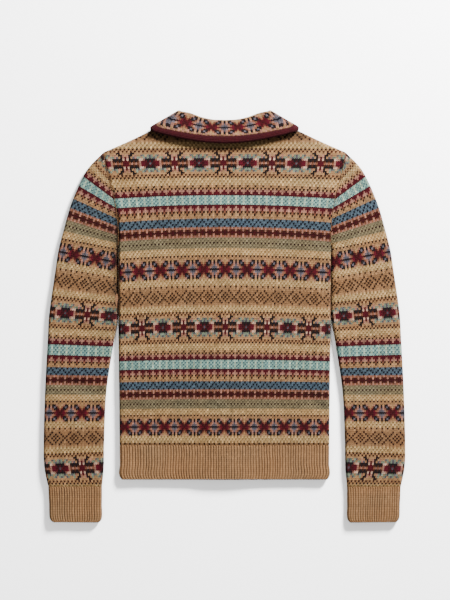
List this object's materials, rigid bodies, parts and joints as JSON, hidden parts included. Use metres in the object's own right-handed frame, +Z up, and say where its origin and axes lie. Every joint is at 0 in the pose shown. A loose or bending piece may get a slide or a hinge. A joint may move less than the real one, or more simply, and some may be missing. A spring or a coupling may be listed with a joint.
{
  "type": "shawl-collared cardigan laid flat",
  "caption": "long-sleeved knitted cardigan with a shawl collar, ribbed hem and cuffs, laid flat on its front with the back up",
  "frame": {"origin": "bottom centre of the box, on the surface the garment lies on", "axes": "+Z up out of the back panel, +Y towards the collar, +X towards the wearer's right"},
  "size_m": [0.59, 0.6716, 0.0142],
  "materials": {
    "banded_knit": "stranded wool knit in traditional bands of many colours on tan",
    "camel_rib": "camel wool in fine rib",
    "dark_red_border": "dark red wool, closely knitted",
    "horn_button": "dark brown horn, satin"
  },
  "bodies": {
    "root": {"back": "banded_knit", "front_left": "banded_knit", "front_right": "banded_knit", "sleeve_left": "banded_knit", "sleeve_right": "banded_knit", "collar": "banded_knit", "cuff_left": "camel_rib", "cuff_right": "camel_rib", "hem_back": "camel_rib", "hem_front_left": "camel_rib", "hem_front_right": "camel_rib", "band_left": "camel_rib", "band_right": "camel_rib", "collar_trim": "dark_red_border", "button_1": "horn_button", "button_2": "horn_button", "button_3": "horn_button", "button_4": "horn_button", "button_5": "horn_button"}
  },
  "joints": []
}
